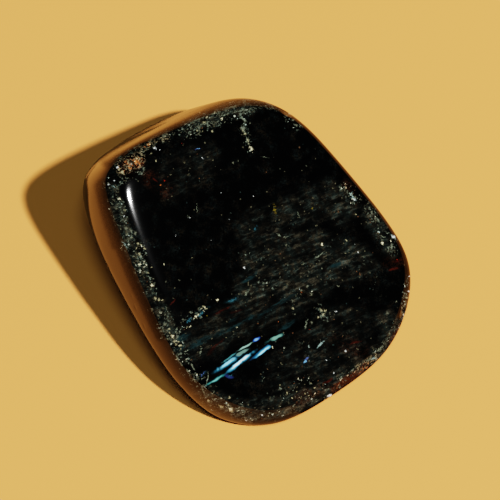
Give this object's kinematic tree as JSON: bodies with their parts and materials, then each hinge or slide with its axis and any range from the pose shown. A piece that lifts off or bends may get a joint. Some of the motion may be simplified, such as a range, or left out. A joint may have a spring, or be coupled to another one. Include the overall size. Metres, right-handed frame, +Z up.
{
  "type": "tumbled mineral specimen",
  "caption": "Near-black tumbled and polished stone, a wedge with a flat sloping upper face, rounded edges and a level underside that it rests on.",
  "frame": {"origin": "on the level underside, under the middle of the bounding box", "axes": "+Z up as the stone rests; +X to the right and +Y to the rear as the picture shows it; the upper face slopes down towards +X and -Y, so the thick corner is at -X, +Y"},
  "size_m": [0.0274, 0.0298, 0.0153],
  "materials": {
    "stone": "high polish over near-black rock with fine grey, tan and blue-green mica flecks"
  },
  "bodies": {
    "root": {"stone": "stone"}
  },
  "joints": []
}
